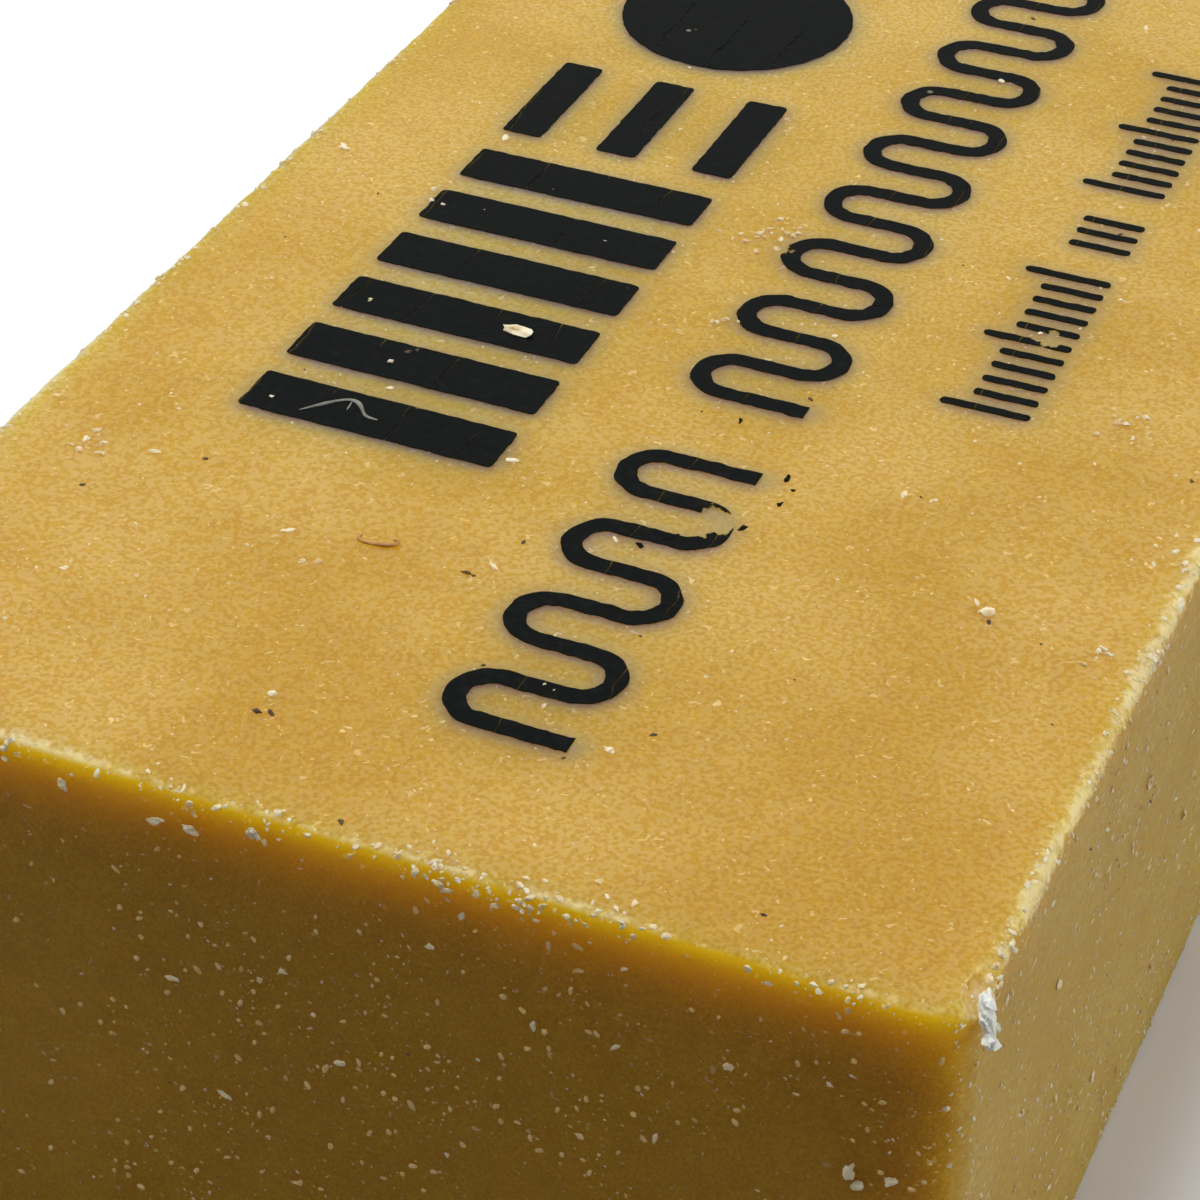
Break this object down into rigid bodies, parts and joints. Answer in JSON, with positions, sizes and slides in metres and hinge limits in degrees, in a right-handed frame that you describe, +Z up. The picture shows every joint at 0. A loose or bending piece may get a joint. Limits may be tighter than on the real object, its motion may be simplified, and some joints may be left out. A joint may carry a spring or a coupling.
{
  "type": "gum eraser",
  "caption": "Plain rectangular gum eraser block with softened edges and one crumbled spot by a corner, for rubbing marks off paper.",
  "frame": {"origin": "middle of the underside, on the surface that the block rests on", "axes": "+X across the block, +Y along it from the near end to the far end, +Z up out of the printed face"},
  "size_m": [0.0254, 0.0546, 0.0147],
  "materials": {
    "gum": "matte, dusty, slightly translucent honey-coloured gum"
  },
  "bodies": {
    "root": {"gum_block": "gum"}
  },
  "joints": []
}
